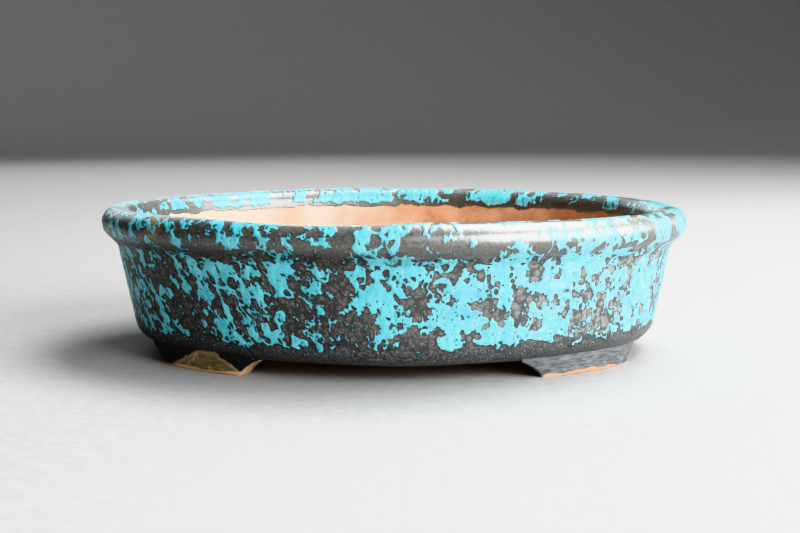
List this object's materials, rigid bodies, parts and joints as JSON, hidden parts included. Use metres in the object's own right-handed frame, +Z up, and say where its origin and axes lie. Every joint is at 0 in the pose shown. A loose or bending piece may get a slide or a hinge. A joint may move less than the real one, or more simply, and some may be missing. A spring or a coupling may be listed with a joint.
{
  "type": "bonsai pot",
  "caption": "Small shallow oval stoneware bonsai pot with a rolled rim, mottled turquoise glaze, bracket feet, drain holes and tie-wire holes.",
  "frame": {"origin": "on the surface the pot stands on, under the middle of the oval", "axes": "+Z up, +X along the oval, -Y towards the front"},
  "size_m": [0.18, 0.139, 0.0445],
  "materials": {
    "mottled_glaze": "satin turquoise glaze broken over a dark brown-black ground",
    "bare_stoneware": "unglazed matte orange stoneware",
    "foot_stoneware": "matte charcoal wash, wiped bare along the ground"
  },
  "bodies": {
    "root": {"floor_slab": "bare_stoneware", "inner_corner_coil": "bare_stoneware", "wall_strip_front": "mottled_glaze", "wall_strip_back": "mottled_glaze", "rim_roll_left": "mottled_glaze", "rim_roll_right": "mottled_glaze", "foot_front_left": "foot_stoneware", "foot_front_right": "foot_stoneware", "foot_back_left": "foot_stoneware", "foot_back_right": "foot_stoneware"}
  },
  "joints": []
}
